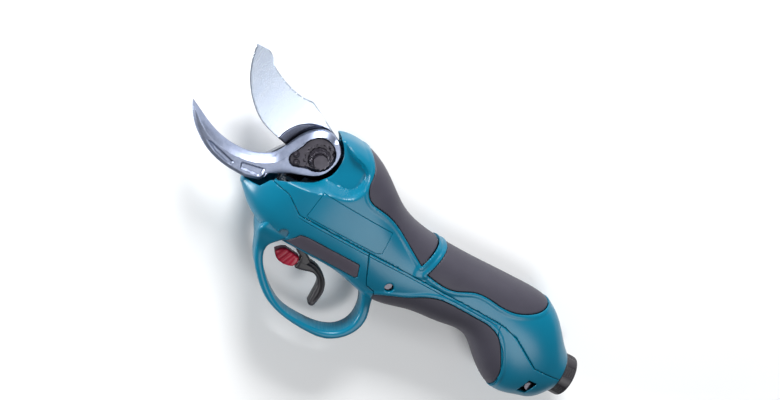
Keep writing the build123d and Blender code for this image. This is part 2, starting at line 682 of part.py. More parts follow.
def inlet_group():
    """Round supply inlet in the butt: body, contact pins, gasket and locking collar."""
    y = -connector_drop
    wall_face = handle_end - 0.04 * handle_length
    flange_radius = inlet_radius + 2.2
    body = rod(inlet_radius, inlet_start, inlet_end, y) + rod(flange_radius, wall_face - 3, wall_face - 0.8, y)
    body -= rod(socket_radius, inlet_end - socket_depth, inlet_end + 1, y)
    body -= rod(socket_radius - 2.0, inlet_start + 4, inlet_end, y)
    pins = []
    for number in range(5):
        angle = 2 * math.pi * number / 5
        place = (y + 4.2 * math.cos(angle), 4.2 * math.sin(angle))
        body -= rod(contact_radius, inlet_start - 1, inlet_start + 5, *place)
        pins += [rod(contact_radius, inlet_start - 3, inlet_end - socket_depth - 1.0, *place)]
    gasket = rod(flange_radius, wall_face - 0.8, wall_face, y) - rod(inlet_radius, 0, 400, y)
    collar = rod(collar_radius, collar_start, collar_end, y)
    collar -= rod(inlet_radius + collar_clearance, collar_start - 1, collar_end + 1, y)
    return {
        "connector_inlet": body, "contact_pins": Compound(children=pins), "inlet_gasket": gasket,
        "connector_collar": collar,
    }


# ---- the whole tool ----
def pruner():
    """Every sub-part by node name, still about the pivot."""
    parts = {}
    for group in (
        casing_parts(), blades(), pivot_group(), gear_case(), crosshead_and_screw(), gear_train(), bearings(),
        motor(), trigger_group(), electronics(), inlet_group(),
    ):
        parts.update(group)
    parts["casing_screws"] = casing_screws()
    return parts


parts = pruner()
low = [min(getattr(s.bounding_box().min, axis) for s in parts.values()) for axis in "XYZ"]
high = [max(getattr(s.bounding_box().max, axis) for s in parts.values()) for axis in "XYZ"]
shift = (-(low[0] + high[0]) / 2, -(low[1] + high[1]) / 2, -low[2])

os.makedirs("parts", exist_ok=True)
for name, shape in parts.items():
    export_step(Pos(*shift) * Compound(children=list(shape.solids())), f"parts/{name}.step")
print(len(parts), "nodes; pivot at", [round(value, 3) for value in shift])
print("size", [round(b - a, 2) for a, b in zip(low, high)])
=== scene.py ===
"""Looks for the battery electric pruner: casing, grips, blades, pivot, trigger, collar, floor and light.

Every length is in millimetres about the blade pivot, with the cutting mid-plane at Z = 0, until a mesh is
made; build() then moves it to the frame's origin and turns it to metres.
"""

import json
import math

import bmesh
import bpy
import numpy as np
from mathutils import Matrix, Vector


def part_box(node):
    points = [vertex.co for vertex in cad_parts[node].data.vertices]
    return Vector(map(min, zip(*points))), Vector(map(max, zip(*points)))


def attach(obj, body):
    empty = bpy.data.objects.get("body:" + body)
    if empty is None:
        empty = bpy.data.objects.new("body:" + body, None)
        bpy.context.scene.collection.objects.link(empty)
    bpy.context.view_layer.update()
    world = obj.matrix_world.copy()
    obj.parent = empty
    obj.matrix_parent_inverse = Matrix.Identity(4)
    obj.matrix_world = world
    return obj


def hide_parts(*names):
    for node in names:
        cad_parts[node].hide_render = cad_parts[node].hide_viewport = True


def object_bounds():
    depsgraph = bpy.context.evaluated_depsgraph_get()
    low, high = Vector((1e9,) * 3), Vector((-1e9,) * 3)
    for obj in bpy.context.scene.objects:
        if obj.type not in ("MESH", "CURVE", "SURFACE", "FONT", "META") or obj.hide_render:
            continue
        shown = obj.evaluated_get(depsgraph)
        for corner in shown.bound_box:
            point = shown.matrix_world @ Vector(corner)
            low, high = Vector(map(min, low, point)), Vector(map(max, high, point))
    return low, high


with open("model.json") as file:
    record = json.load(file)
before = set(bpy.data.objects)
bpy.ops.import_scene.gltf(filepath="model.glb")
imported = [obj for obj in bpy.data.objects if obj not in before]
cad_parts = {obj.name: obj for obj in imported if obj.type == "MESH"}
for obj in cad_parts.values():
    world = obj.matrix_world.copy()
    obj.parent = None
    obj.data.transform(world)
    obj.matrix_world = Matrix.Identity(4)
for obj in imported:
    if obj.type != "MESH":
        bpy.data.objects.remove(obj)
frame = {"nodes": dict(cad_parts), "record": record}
cad_box = [list(corner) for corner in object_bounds()]
blade_low, blade_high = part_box("moving_blade")
bolt_low, bolt_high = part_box("pivot_bolt")
PIVOT = np.array([
    (bolt_low.x + bolt_high.x) / 2, (bolt_low.y + bolt_high.y) / 2, (blade_low.z + blade_high.z) / 2,
])


# Centre of the ring where the blade steps down to its hub, from the pivot.
HUB_X, HUB_Y = -5.5, -4.5
# Heights above the cutting mid-plane: the blade's near face and the hook's back face, which pass each other
# with the gap between them, and the floor of the hook's well.
BLADE_FACE, HOOK_BACK, WELL_FLOOR = 1.9, 2.15, 5.55


# ---- meshes ----
def build(name, places, faces, material, body, slot, replaces=(), sharp=38.0, wall=0.0, merge=0.01):
    """Mesh from places in millimetres about the pivot, shaded smooth except over edges sharper than sharp."""
    mesh = bpy.data.meshes.new(name)
    mesh.from_pydata((np.asarray(places) / 1000 + PIVOT).tolist(), [], [list(face) for face in faces])
    work = bmesh.new()
    work.from_mesh(mesh)
    if merge:
        bmesh.ops.remove_doubles(work, verts=work.verts, dist=merge / 1000)
        bmesh.ops.dissolve_degenerate(work, edges=work.edges, dist=merge / 2000)
    work.to_mesh(mesh)
    work.free()
    mesh.polygons.foreach_set("use_smooth", np.ones(len(mesh.polygons), bool))
    mesh.set_sharp_from_angle(angle=math.radians(sharp))
    piece = bpy.data.objects.new(name, mesh)
    bpy.context.scene.collection.objects.link(piece)
    mesh.materials.append(material)
    if wall:
        shell = piece.modifiers.new("wall", "SOLIDIFY")
        shell.thickness = wall / 1000
        shell.offset = -1.0
    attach(piece, body)
    if replaces:
        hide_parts(*replaces)
    return piece


def cubic(knots, values, at):
    """Natural cubic spline: second slopes m solve the continuity equations at the knots, and each span is
    the cubic that meets its two values and its two second slopes."""
    step = np.diff(knots)
    count = len(knots)
    system, right = np.eye(count), np.zeros_like(values)
    i = np.arange(1, count - 1)
    system[i, i - 1], system[i, i], system[i, i + 1] = step[:-1], 2 * (step[:-1] + step[1:]), step[1:]
    right[1:-1] = 6 * np.diff(np.diff(values, axis=0) / step[:, None], axis=0)
    m = np.linalg.solve(system, right)
    j = np.clip(np.searchsorted(knots, at) - 1, 0, count - 2)
    h = step[j][:, None]
    t = (at - knots[j])[:, None]
    s = h - t
    cube = (m[j] * s ** 3 + m[j + 1] * t ** 3) / (6 * h)
    return cube + (values[j] / h - m[j] * h / 6) * s + (values[j + 1] / h - m[j + 1] * h / 6) * t


def run(points, count=24):
    """Smooth curve through points: a cubic in each coordinate over the length along the chords."""
    points = np.asarray(points, float)
    along = np.r_[0, np.cumsum(np.hypot(*np.diff(points, axis=0).T))]
    return cubic(along, points, np.linspace(0, along[-1], count))


def distance(x, y, outline):
    """Distance from each place to a closed outline, positive inside and negative outside."""
    best, inside = np.full(x.shape, 1e9), np.zeros(x.shape, bool)
    ends = np.roll(outline, -1, axis=0)
    for (ax, ay), (bx, by) in zip(outline, ends):
        ex, ey = bx - ax, by - ay
        share = np.clip(((x - ax) * ex + (y - ay) * ey) / (ex * ex + ey * ey + 1e-12), 0, 1)
        best = np.minimum(best, (x - ax - share * ex) ** 2 + (y - ay - share * ey) ** 2)
        rise = ey if abs(ey) > 1e-9 else 1e-9
        inside ^= ((ay > y) != (by > y)) & (x < ax + (y - ay) * ex / rise)
    return np.where(inside, 1, -1) * np.sqrt(best)


def reach(x, y, line):
    """Distance from each place to an open line."""
    best = np.full(x.shape, 1e9)
    for (ax, ay), (bx, by) in zip(line[:-1], line[1:]):
        ex, ey = bx - ax, by - ay
        share = np.clip(((x - ax) * ex + (y - ay) * ey) / (ex * ex + ey * ey + 1e-12), 0, 1)
        best = np.minimum(best, (x - ax - share * ex) ** 2 + (y - ay - share * ey) ** 2)
    return np.sqrt(best)


def clip(columns, faces, keep):
    """Cut triangles along keep = 0 and leave the side where keep is above 0. Where an edge crosses, the new
    corner's columns are the straight mix of its two ends."""
    above = keep[faces] > 0
    count = above.sum(1)
    whole = faces[count == 3]
    made, out = [], [whole]
    for wanted, odd in ((1, True), (2, False)):
        some = faces[count == wanted]
        turn = np.argmax((keep[some] > 0) == odd, axis=1)
        rows = np.arange(len(some))[:, None]
        some = some[rows, (turn[:, None] + np.arange(3)) % 3]
        made.append(some)
    one, two = made
    edges = np.concatenate([one[:, [0, 1]], one[:, [0, 2]], two[:, [0, 1]], two[:, [0, 2]]])
    keys, back = np.unique(np.sort(edges, axis=1), axis=0, return_inverse=True)
    back = back.reshape(-1)
    share = (keep[keys[:, 0]] / (keep[keys[:, 0]] - keep[keys[:, 1]]))[:, None]
    fresh = columns[keys[:, 0]] + share * (columns[keys[:, 1]] - columns[keys[:, 0]])
    new = len(columns) + back
    a, b = np.split(new[:2 * len(one)], 2) if len(one) else (new[:0], new[:0])
    c, d = np.split(new[2 * len(one):], 2) if len(two) else (new[:0], new[:0])
    out.append(np.c_[one[:, 0], a, b])
    out.append(np.c_[c, two[:, 1], two[:, 2]])
    out.append(np.c_[c, two[:, 2], d])
    faces = np.concatenate(out)
    columns = np.concatenate([columns, fresh])
    used, faces = np.unique(faces, return_inverse=True)
    return columns[used], faces.reshape(-1, 3)


def lattice(rows, across, closed=False):
    """Triangles of a grid of rows by across corners, closed round the across direction if asked."""
    i, j = np.meshgrid(np.arange(rows - 1), np.arange(across if closed else across - 1), indexing="ij")
    k = (j + 1) % across
    a, b, c, d = i * across + j, i * across + k, (i + 1) * across + k, (i + 1) * across + j
    return np.concatenate([np.stack([a, b, c], -1).reshape(-1, 3), np.stack([a, c, d], -1).reshape(-1, 3)])


def plate(outline, top, bottom, step=0.5):
    """Solid over a flat outline: a grid cut to the outline, lifted to top(x, y, d) and closed below at
    bottom(x, y, d), where d is the distance in from the outline, with upright walls between the two."""
    low, high = outline.min(0) - 1, outline.max(0) + 1
    xs, ys = np.arange(low[0], high[0], step), np.arange(low[1], high[1], step)
    x, y = (part.ravel() for part in np.meshgrid(xs, ys, indexing="ij"))
    inward = distance(x, y, outline)
    dx = distance(x + 0.01, y, outline) - inward
    dy = distance(x, y + 0.01, outline) - inward
    near = np.abs(inward) < 0.3 * step
    x = np.where(near, x - inward * dx * 100, x)
    y = np.where(near, y - inward * dy * 100, y)
    inward = np.where(near, 1e-4, inward)
    places, faces = clip(np.c_[x, y, inward], lattice(len(xs), len(ys)), inward)
    x, y, inward = places.T
    inward = np.maximum(inward, 0)
    a, b, c = (places[faces[:, corner], :2] for corner in range(3))
    faces = np.where(np.cross(b - a, c - a)[:, None] > 0, faces, faces[:, ::-1])
    count = len(places)
    edges = np.concatenate([faces[:, [0, 1]], faces[:, [1, 2]], faces[:, [2, 0]]])
    _, index, times = np.unique(np.sort(edges, axis=1), axis=0, return_index=True, return_counts=True)
    start, end = edges[index[times == 1]].T
    walls = np.concatenate([np.c_[end, start, start + count], np.c_[end, start + count, end + count]])
    upper = np.c_[x, y, top(x, y, inward)]
    lower = np.c_[x, y, bottom(x, y, inward)]
    return np.concatenate([upper, lower]), np.concatenate([faces, faces[:, ::-1] + count, walls])


def turned(profile, around=96, at=(0.0, 0.0), ripple=None):
    """Profile of (radius, height) pairs carried round an upright axis: x is radius times the cosine of the
    angle and y is radius times its sine; ripple(angle, row) adds to the radius."""
    profile = np.asarray(profile, float)
    angle = np.linspace(0, 2 * math.pi, around, endpoint=False)
    radius = profile[:, :1] + (ripple(angle[None, :], np.arange(len(profile))[:, None]) if ripple else 0)
    radius = np.broadcast_to(np.maximum(radius, 0), (len(profile), around))
    x, y = at[0] + radius * np.cos(angle), at[1] + radius * np.sin(angle)
    z = np.broadcast_to(profile[:, 1:], x.shape)
    return np.stack([x, y, z], -1).reshape(-1, 3), lattice(len(profile), around, closed=True)


def joined(*solids):
    """Several meshes as one list of corners and one of faces."""
    places, faces, count = [], [], 0
    for corners, triangles in solids:
        places.append(corners)
        faces.append(np.asarray(triangles) + count)
        count += len(corners)
    return np.concatenate(places), np.concatenate(faces)


def roll(inward, radius):
    """How far a rounded edge drops below its face at a distance in from the edge: a quarter circle."""
    short = np.clip(radius - inward, 0, radius)
    return radius - np.sqrt(np.maximum(radius ** 2 - short ** 2, 0))


def ramp(value, low, high):
    """0 below low, 1 above high, and a smooth step between."""
    share = np.clip((value - low) / (high - low), 0, 1)
    return share * share * (3 - 2 * share)


def lesser(a, b, blend):
    """The smaller of two heights, with the crease between them rounded over blend."""
    share = np.clip(0.5 + 0.5 * (b - a) / blend, 0, 1)
    return b * (1 - share) + a * share - blend * share * (1 - share)


# ---- finishes ----
def linear(code):
    """sRGB hex colour as linear red, green, blue and alpha."""
    values = [int(code[i:i + 2], 16) / 255 for i in (1, 3, 5)]
    return [v / 12.92 if v <= 0.04045 else ((v + 0.055) / 1.055) ** 2.4 for v in values] + [1.0]


def add(tree, kind, settings=None, links=None):
    """One node: settings go to its sockets or its own fields, and links join another node's output to one
    of its sockets."""
    made = tree.nodes.new(kind)
    for key, value in (settings or {}).items():
        if isinstance(key, int) or key in made.inputs:
            made.inputs[key].default_value = value
        else:
            setattr(made, key, value)
    for key, output in (links or {}).items():
        tree.links.new(output, made.inputs[key])
    return made


def finish(name, light, dark, rough, metal=0.0, mottle=12.0, grain=0.4, bump=0.05, stretch=(1, 1, 1),
           turn=0.0, level=0.5, spread=0.06, shade=None):
    """Material: colour mottled between light and dark over mottle mm, roughness that varies by spread, and a
    grain of the given width in mm raised bump mm high, drawn out by stretch and turned about Z by turn."""
    material = bpy.data.materials.new(name)
    material.use_nodes = True
    tree = material.node_tree
    tree.nodes.clear()
    place = add(tree, "ShaderNodeTexCoord").outputs["Object"]
    lay = add(
        tree, "ShaderNodeMapping",
        {"Rotation": (0, 0, math.radians(turn)), "Scale": stretch}, {"Vector": place},
    ).outputs["Vector"]

    def noise(width, detail):
        """Noise with lumps of a width in mm."""
        settings = {"Scale": 1000 / width, "Detail": detail}
        return add(tree, "ShaderNodeTexNoise", settings, {"Vector": lay}).outputs["Fac"]

    cloud, fine = noise(mottle, 3.0), noise(grain, 2.0)
    hue = add(tree, "ShaderNodeMix", {"data_type": "RGBA", 6: linear(dark), 7: linear(light)}, {0: cloud})
    colour = hue.outputs[2]
    if shade is not None:
        colour = shade(tree, place, colour)
    limits = {"To Min": rough - spread, "To Max": rough + spread}
    gloss = add(tree, "ShaderNodeMapRange", limits, {"Value": fine})
    inputs = {"Base Color": colour, "Roughness": gloss.outputs["Result"]}
    if bump:
        raised = add(tree, "ShaderNodeBump", {"Strength": 1.0, "Distance": bump / 1000}, {"Height": fine})
        inputs["Normal"] = raised.outputs["Normal"]
    shader = add(tree, "ShaderNodeBsdfPrincipled", {"Metallic": metal, "Specular IOR Level": level}, inputs)
    add(tree, "ShaderNodeOutputMaterial", {}, {"Surface": shader.outputs["BSDF"]})
    return material


def painted_hub_shade(tree, place, colour):
    """Painted shade and dark reflection on the steel inside the hub's ring, a little lighter towards its rim,
    the plain steel colour outside.
    """
    centre = Vector((PIVOT[0] + HUB_X / 1000, PIVOT[1] + HUB_Y / 1000, PIVOT[2]))
    away = add(tree, "ShaderNodeVectorMath", {"operation": "DISTANCE", 1: centre}, {0: place})
    away = away.outputs["Value"]
    inner = add(tree, "ShaderNodeMapRange", {"From Min": 0.0165, "From Max": 0.0215}, {"Value": away})
    outer = add(tree, "ShaderNodeMapRange", {"From Min": 0.0222, "From Max": 0.0228}, {"Value": away})
    # Colours of the painted shade: deepest near the bolt, paler towards the ring's rim.
    dark, painted_rim_shade = linear("#24252D"), linear("#5A5F70")
    shaded_tone = add(
        tree, "ShaderNodeMix", {"data_type": "RGBA", 6: dark, 7: painted_rim_shade}, {0: inner.outputs["Result"]},
    )
    mixed = add(
        tree, "ShaderNodeMix", {"data_type": "RGBA"},
        {0: outer.outputs["Result"], 6: shaded_tone.outputs[2], 7: colour},
    )
    return mixed.outputs[2]


# Glass-filled nylon, moulded with a fine spark texture: satin teal, soft broad highlights.
teal_nylon = finish(
    "moulded_teal_nylon", "#006984", "#005A75", 0.3, mottle=30, grain=0.5, bump=0.012,
    level=0.3, spread=0.04,
)
# Over-moulded soft elastomer: dull purple-grey with a fine leathery grain.
grip_rubber = finish(
    "soft_grip_elastomer", "#3B3944", "#2F2D38", 0.55, mottle=18, grain=0.8, bump=0.05, level=0.4,
    spread=0.08,
)
# Printed polyester film: flat charcoal, nearly no relief.
label_film = finish("charcoal_label_film", "#48434E", "#3E3945", 0.5, mottle=20, grain=0.6, bump=0.004)
# Hardened blade steel, ground lengthwise and polished: bright with drawn-out lines, with painted shade and a
# painted dark reflection round the hub.
ground_steel = finish(
    "ground_blade_steel", "#E8F1FF", "#D3E1F8", 0.27, metal=1.0, mottle=6, grain=0.6, bump=0.0,
    stretch=(2.2, 0.15, 1), turn=-52, spread=0.012, shade=painted_hub_shade,
)
# Forged steel, tumbled and satin plated: grey with a soft grain.
forged_steel = finish(
    "forged_satin_steel", "#A3ABC0", "#7F88A0", 0.44, metal=1.0, mottle=2.5, grain=0.5, bump=0.012,
)
# Black oxide on turned steel: near black with oily sheen.
black_oxide = finish(
    "black_oxide_steel", "#434049", "#2B2830", 0.22, metal=0.5, mottle=3, grain=0.4, bump=0.006,
)
# Moulded nylon, black and slightly glossy.
black_nylon = finish("moulded_black_nylon", "#2B282E", "#211F24", 0.42, mottle=8, grain=0.5, bump=0.01)
# Moulded red nylon, satin.
red_nylon = finish("moulded_red_nylon", "#CF1840", "#AC1434", 0.36, mottle=5, grain=0.5, bump=0.01)
# Die-cast aluminium, shot-blasted.
cast_aluminium = finish(
    "blasted_cast_aluminium", "#B9BBBF", "#A6A8AD", 0.5, metal=1.0, mottle=4, grain=0.5, bump=0.02,
)
# Ground bearing and screw steel.
pin_steel = finish("ground_pin_steel", "#C8C8CC", "#B4B4BA", 0.25, metal=1.0, mottle=3, grain=0.4, bump=0.002)
# Hardened gear steel, dark from heat treatment.
gear_steel = finish(
    "hardened_gear_steel", "#8B8B90", "#77777D", 0.35, metal=1.0, mottle=3, grain=0.4, bump=0.004,
)
# Sintered bronze, porous.
bronze = finish("sintered_bronze", "#B08552", "#996F41", 0.45, metal=1.0, mottle=2, grain=0.3, bump=0.006)
# Enamelled copper wire.
copper = finish("enamelled_copper", "#B5683A", "#984F27", 0.3, metal=1.0, mottle=1.5, grain=0.5, bump=0.02)
# Glass-epoxy board.
board_green = finish("glass_epoxy_board", "#1E6B3C", "#175A31", 0.4, mottle=6, grain=0.5, bump=0.004)
# Turned brass contacts.
brass = finish("turned_brass", "#C9A653", "#B59242", 0.28, metal=1.0, mottle=3, grain=0.4, bump=0.002)
# Nitrile rubber seal.
seal_rubber = finish("nitrile_seal", "#1B1B1C", "#141415", 0.7, mottle=5, grain=0.4, bump=0.01)
# Zinc-plated screw heads.
zinc_plate = finish(
    "zinc_plated_steel", "#C3C6CA", "#AEB2B8", 0.3, metal=1.0, mottle=2, grain=0.4, bump=0.003,
)

by_slot = {
    "teal_plastic": teal_nylon, "grip_rubber": grip_rubber, "label_film": label_film,
    "blade_steel": ground_steel,
    "forged_steel": forged_steel, "bronze": bronze, "pin_steel": pin_steel, "black_steel": black_oxide,
    "cast_aluminium": cast_aluminium, "gear_steel": gear_steel, "zinc_steel": zinc_plate, "copper": copper,
    "magnet": pin_steel, "black_nylon": black_nylon, "red_plastic": red_nylon, "board": board_green,
    "capacitor_sleeve": black_nylon, "brass": brass, "seal_rubber": seal_rubber,
}
for part in frame["record"]["subparts"]:
    mesh = frame["nodes"][part["node"]].data
    mesh.materials.clear()
    mesh.materials.append(by_slot[part["material_slot"]])


# ---- casing ----
# Half widths of the head, the grip and the butt, where the handle starts along X and how long it is, and
# how far the collar's axis lies below the pivot.
HEAD, GRIP, BUTT = 23.5, 20.0, 22.0
HANDLE_START, HANDLE_LENGTH = 66.0, 146.0
DROP = 50.4
# Sections of the casing: place along X, top, foot, half width and squareness.
STATIONS = np.array([
    (-33.0, -31.5, -37.0, 0.22 * HEAD, 2.2), (-28.0, -24.0, -42.0, 0.46 * HEAD, 2.4),
    (-20.0, -13.0, -48.5, 0.70 * HEAD, 2.6), (-10.0, 3.0, -53.4, 0.87 * HEAD, 2.8),
    (2.0, 17.0, -56.0, 0.96 * HEAD, 3.0), (14.0, 20.6, -56.4, HEAD, 3.1), (28.0, 18.8, -56.6, HEAD, 3.1),
    (42.0, 12.8, -57.2, 0.98 * HEAD, 3.0), (54.0, 4.6, -59.2, 0.95 * HEAD, 2.9),
    (HANDLE_START, -3.0, -62.4, 0.4 * HEAD + 0.6 * GRIP, 2.7),
] + [(HANDLE_START + share * HANDLE_LENGTH, *rest) for share, *rest in (
    (0.10, -7.6, -63.2, 0.1 * HEAD + 0.9 * GRIP, 2.6), (0.23, -9.5, -58.8, GRIP, 2.5),
    (0.385, -9.8, -56.4, GRIP, 2.5), (0.53, -9.2, -56.4, 0.8 * GRIP + 0.2 * BUTT, 2.5),
    (0.63, -8.8, -67.2, 0.4 * GRIP + 0.6 * BUTT, 2.5), (0.725, -8.9, -76.6, BUTT, 2.5),
    (0.81, -11.8, -78.8, BUTT, 2.4), (0.895, -21.0, -75.8, 0.93 * BUTT, 2.3),
    (0.96, -30.4, -72.0, 0.80 * BUTT, 2.15), (1.0, -(DROP - 15.0), -(DROP + 15.0), 15.0, 2.0),
)])

# Outlines of the casing's parts in side view.
MOUTH = np.concatenate([
    [(-70, 60), (-70, -34), (-35, -33), (-25, -30.4)],
    run([(-21.5, -23.8), (-11, -17.6), (-1.6, -14.2), (6.2, -9.8), (10.4, -4), (11.4, 3), (10.6, 9.6),
         (4.6, 18)], 60),
    [(3, 60)],
])
SCOOP = np.concatenate([
    [(-60, 60), (-60, -17)],
    run([(-26, -18.4), (-18, -16.8), (-9, -14.6), (-1, -12.4), (5, -10.2), (12, -7.8), (19, -7.2),
         (24.6, -5.2), (27.6, 1), (27.4, 7), (23, 10.6), (15, 12.4), (8, 17.5), (5, 26)], 90),
    [(5, 60)],
])
BELOW = np.array([
    (-70, -22.5), (-22, -22.7), (-8, -24.8), (3.5, -32.8), (152, -34.6), (158, -35.2), (168, -37.8),
    (190, -50), (250, -51.5), (250, -140), (-70, -140),
])
FRONT = np.array([
    (-70, 0), (54.5, 0), (54.5, -34.6), (62, -49), (65, -53.6), (72, -55.2), (74.5, -62), (78.5, -66.5),
    (84, -72), (84, -140), (-70, -140),
])
FRONT_PAD = np.concatenate([
    [(18, 40), (18, 26)],
    run([(26.5, 19), (30.8, 12), (31.8, 3), (36, -3.6), (48, -6.8), (62, -11.2), (73, -17.2), (88, -25.8)],
        48),
    run([(88, -25.8), (90.6, -18.5), (92.8, -11.5), (96, -2)], 16)[1:], [(96, 40)],
])
REAR_PAD = np.concatenate([
    run([(94, -29), (97, -20), (99.4, -12), (102, -2)], 16), [(102, 20), (200, 20), (200, -8)],
    run([(180, -8.5), (177.4, -12.8), (167, -20.8), (157, -24.3), (146, -24.8)], 24),
    run([(146, -24.8), (127, -25), (117, -29.4), (94, -29)], 30)[1:-1],
])
LOWER_PAD = np.concatenate([
    [(72, -90), (72, -70)],
    run([(70.5, -58.6), (80, -53.4), (92, -48), (101, -42.6), (110, -39.2), (124, -38.4), (146, -38.7)], 40),
    run([(146, -38.7), (155, -41.4), (165.5, -52.4), (172.5, -64), (175.5, -80)], 24)[1:],
    [(175.5, -100), (72, -100)],
])
LABEL = np.array([(11.5, -44), (6.5, -54), (56, -53), (57, -51.4), (53.2, -43.2), (16, -43)])
NAME_PLATE = np.array([(9.4, -13.4), (60.3, -15.6), (61.3, -30.2), (57.5, -31.6), (7.6, -31.2)])
BUTT_CAP = np.concatenate([
    run([(154.6, -30), (155.2, -39.8), (163.8, -48.3), (169.6, -57.1), (174.7, -69.5), (177, -84)], 30),
    [(250, -84), (250, -30)],
])
# Screw wells: place along X, height and radius.
WELLS = ((2.8, -48.4, 2.9), (78.0, -47.8, 2.9))
REAR_SLOT = np.array([(192.4, -59.0), (198.6, -59.0), (196.6, -69.0), (190.4, -69.0)])


def casing_rows():
    """Rows of the casing's skin along the handle: a superellipse |y/rise|^p + |z/half|^p = 1 in each
    cross-section, with its rise, half-width and squareness p carried along X by a cubic spline. Rows at
    the nose and at the butt draw in to close the ends."""
    along = np.linspace(STATIONS[0, 0], STATIONS[-1, 0], 410)
    top, low, half, power = cubic(STATIONS[:, 0], STATIONS[:, 1:], along).T
    turn = np.linspace(0, math.pi / 2, 9)[:0:-1]
    nose = np.c_[-33.0 - 1.3 * np.sin(turn), np.cos(turn)]
    butt = np.array([(212.0, 0.985), (212.2, 0.96), (212.25, 0.92), (212.25, 0.80), (212.25, 0.715)])
    x = np.r_[nose[:, 0], along, butt[:, 0]]
    scale = np.r_[np.maximum(nose[:, 1], 0.0), np.ones(len(along)), butt[:, 1]]
    pick = np.r_[np.zeros(len(nose), int), np.arange(len(along)), np.full(len(butt), len(along) - 1)]
    angle = np.linspace(0, 2 * math.pi, 264, endpoint=False)[None, :]
    p = np.maximum(power[pick], 2.0)[:, None]
    radius = (np.abs(np.cos(angle)) ** p + np.abs(np.sin(angle)) ** p) ** (-1 / p) * scale[:, None]
    y = ((top + low) / 2)[pick][:, None] + ((top - low) / 2)[pick][:, None] * radius * np.cos(angle)
    z = half[pick][:, None] * radius * np.sin(angle)
    return np.broadcast_to(x[:, None], y.shape), y, z


def outward(x, y, z):
    """Unit normals of a closed grid, from the cross product of its two directions."""
    grid = np.stack([x, y, z], -1)
    along = np.gradient(grid, axis=0)
    across = np.roll(grid, -1, 1) - np.roll(grid, 1, 1)
    normal = np.cross(across, along)
    return normal / np.maximum(np.linalg.norm(normal, axis=-1, keepdims=True), 1e-9)


grid_x, grid_y, grid_z = casing_rows()
skin_faces = lattice(*grid_x.shape, closed=True)
flat_x, flat_y = grid_x.ravel(), grid_y.ravel()
edge = {
    "mouth": -distance(flat_x, flat_y, MOUTH), "scoop": distance(flat_x, flat_y, SCOOP),
    "below": distance(flat_x, flat_y, BELOW), "front": distance(flat_x, flat_y, FRONT),
    "front_pad": distance(flat_x, flat_y, FRONT_PAD), "rear_pad": distance(flat_x, flat_y, REAR_PAD),
    "lower_pad": distance(flat_x, flat_y, LOWER_PAD), "label": distance(flat_x, flat_y, LABEL),
    "plate": distance(flat_x, flat_y, NAME_PLATE), "butt": distance(flat_x, flat_y, BUTT_CAP),
    "rear_slot": distance(flat_x, flat_y, REAR_SLOT),
}


def scooped(z):
    """Flank height with the hollow round the eye: its floor rises towards the back and the foot, and its
    sides climb steeply to the skin, with a rounded crest."""
    outside = np.maximum(-edge["scoop"], 0).reshape(z.shape)
    floor = 10.6 + 0.26 * np.clip(grid_x - 6, 0, 20) + 0.5 * np.clip(-14 - grid_y, 0, 9) + 2.3 * outside
    near = lesser(z, floor, 2.6)
    far = -lesser(-z, floor + 4.3, 2.6)
    return np.where(z > 0, np.minimum(near, z), np.maximum(far, z))


def skin(hollow):
    """Columns of the casing's skin: place, normal and every distance that shapes it."""
    z = scooped(grid_z) if hollow else grid_z
    z = np.maximum(z, -HEAD + 0.5)
    normal = outward(grid_x, grid_y, z)
    place = np.stack([grid_x, grid_y, z], -1).reshape(-1, 3)
    return np.c_[place, normal.reshape(-1, 3), np.stack(list(edge.values()), -1)]


ORDER = {name: 6 + number for number, name in enumerate(edge)}
hollow_skin, full_skin = skin(True), skin(False)
# Half the gap between two shells, half the width of a groove, and the shells' wall.
GAP, GROOVE, SHELL_WALL = 0.14, 0.32, 2.0


def scored(columns, faces, field):
    """Skin with extra corners along the middle and both sides of the groove where field is 0."""
    for level in (-GROOVE, 0.0, GROOVE):
        side = field(columns) - level
        columns, faces = joined(clip(columns, faces, side), clip(columns, faces, -side))
    return columns, faces


def groove(value):
    """A V from 0 at its sides to 1 down its middle."""
    return np.maximum(1 - np.abs(value) / GROOVE, 0)


def patch(columns, keeps, sink=0.0, lift=None, radius=0.4, grooves=()):
    """Part of the skin where every distance in keeps is above the seam gap, sunk by sink along its normal,
    raised by lift(columns), and rolled over at its edge."""
    faces = skin_faces
    for field in grooves:
        columns, faces = scored(columns, faces, field)
    for keep in keeps:
        columns, faces = clip(columns, faces, keep(columns) - GAP)
    inward = np.min([keep(columns) for keep in keeps], axis=0) - GAP
    out = -sink - roll(np.maximum(inward, 0), radius)
    if lift:
        out = out + lift(columns)
    return columns[:, :3] + out[:, None] * columns[:, 3:6], faces


def col(name, sign=1):
    """Distance of one boundary as a function of the columns, positive on the side that sign picks."""
    return lambda columns: sign * columns[:, ORDER[name]]


def near_only(columns, value):
    """value on the near side and a large distance on the far side."""
    return np.where(columns[:, 2] > 2.0, value, 30.0)


def wells(columns):
    """Distance outside the round screw wells and the rear slot."""
    x, y = columns[:, 0], columns[:, 1]
    holes = [np.hypot(x - a, y - b) - r for a, b, r in WELLS] + [-columns[:, ORDER["rear_slot"]]]
    return near_only(columns, np.min(holes, axis=0))


def label_pocket(columns):
    """Distance outside the warning label."""
    return near_only(columns, -columns[:, ORDER["label"]])


def trigger_slot(columns):
    """Distance outside the slot in the underside that the trigger comes through."""
    x, y, z = columns[:, 0], columns[:, 1], columns[:, 2]
    return np.where(y > -50, 30.0, np.max([11 - x, x - 35, np.abs(z) - 5.0], axis=0))


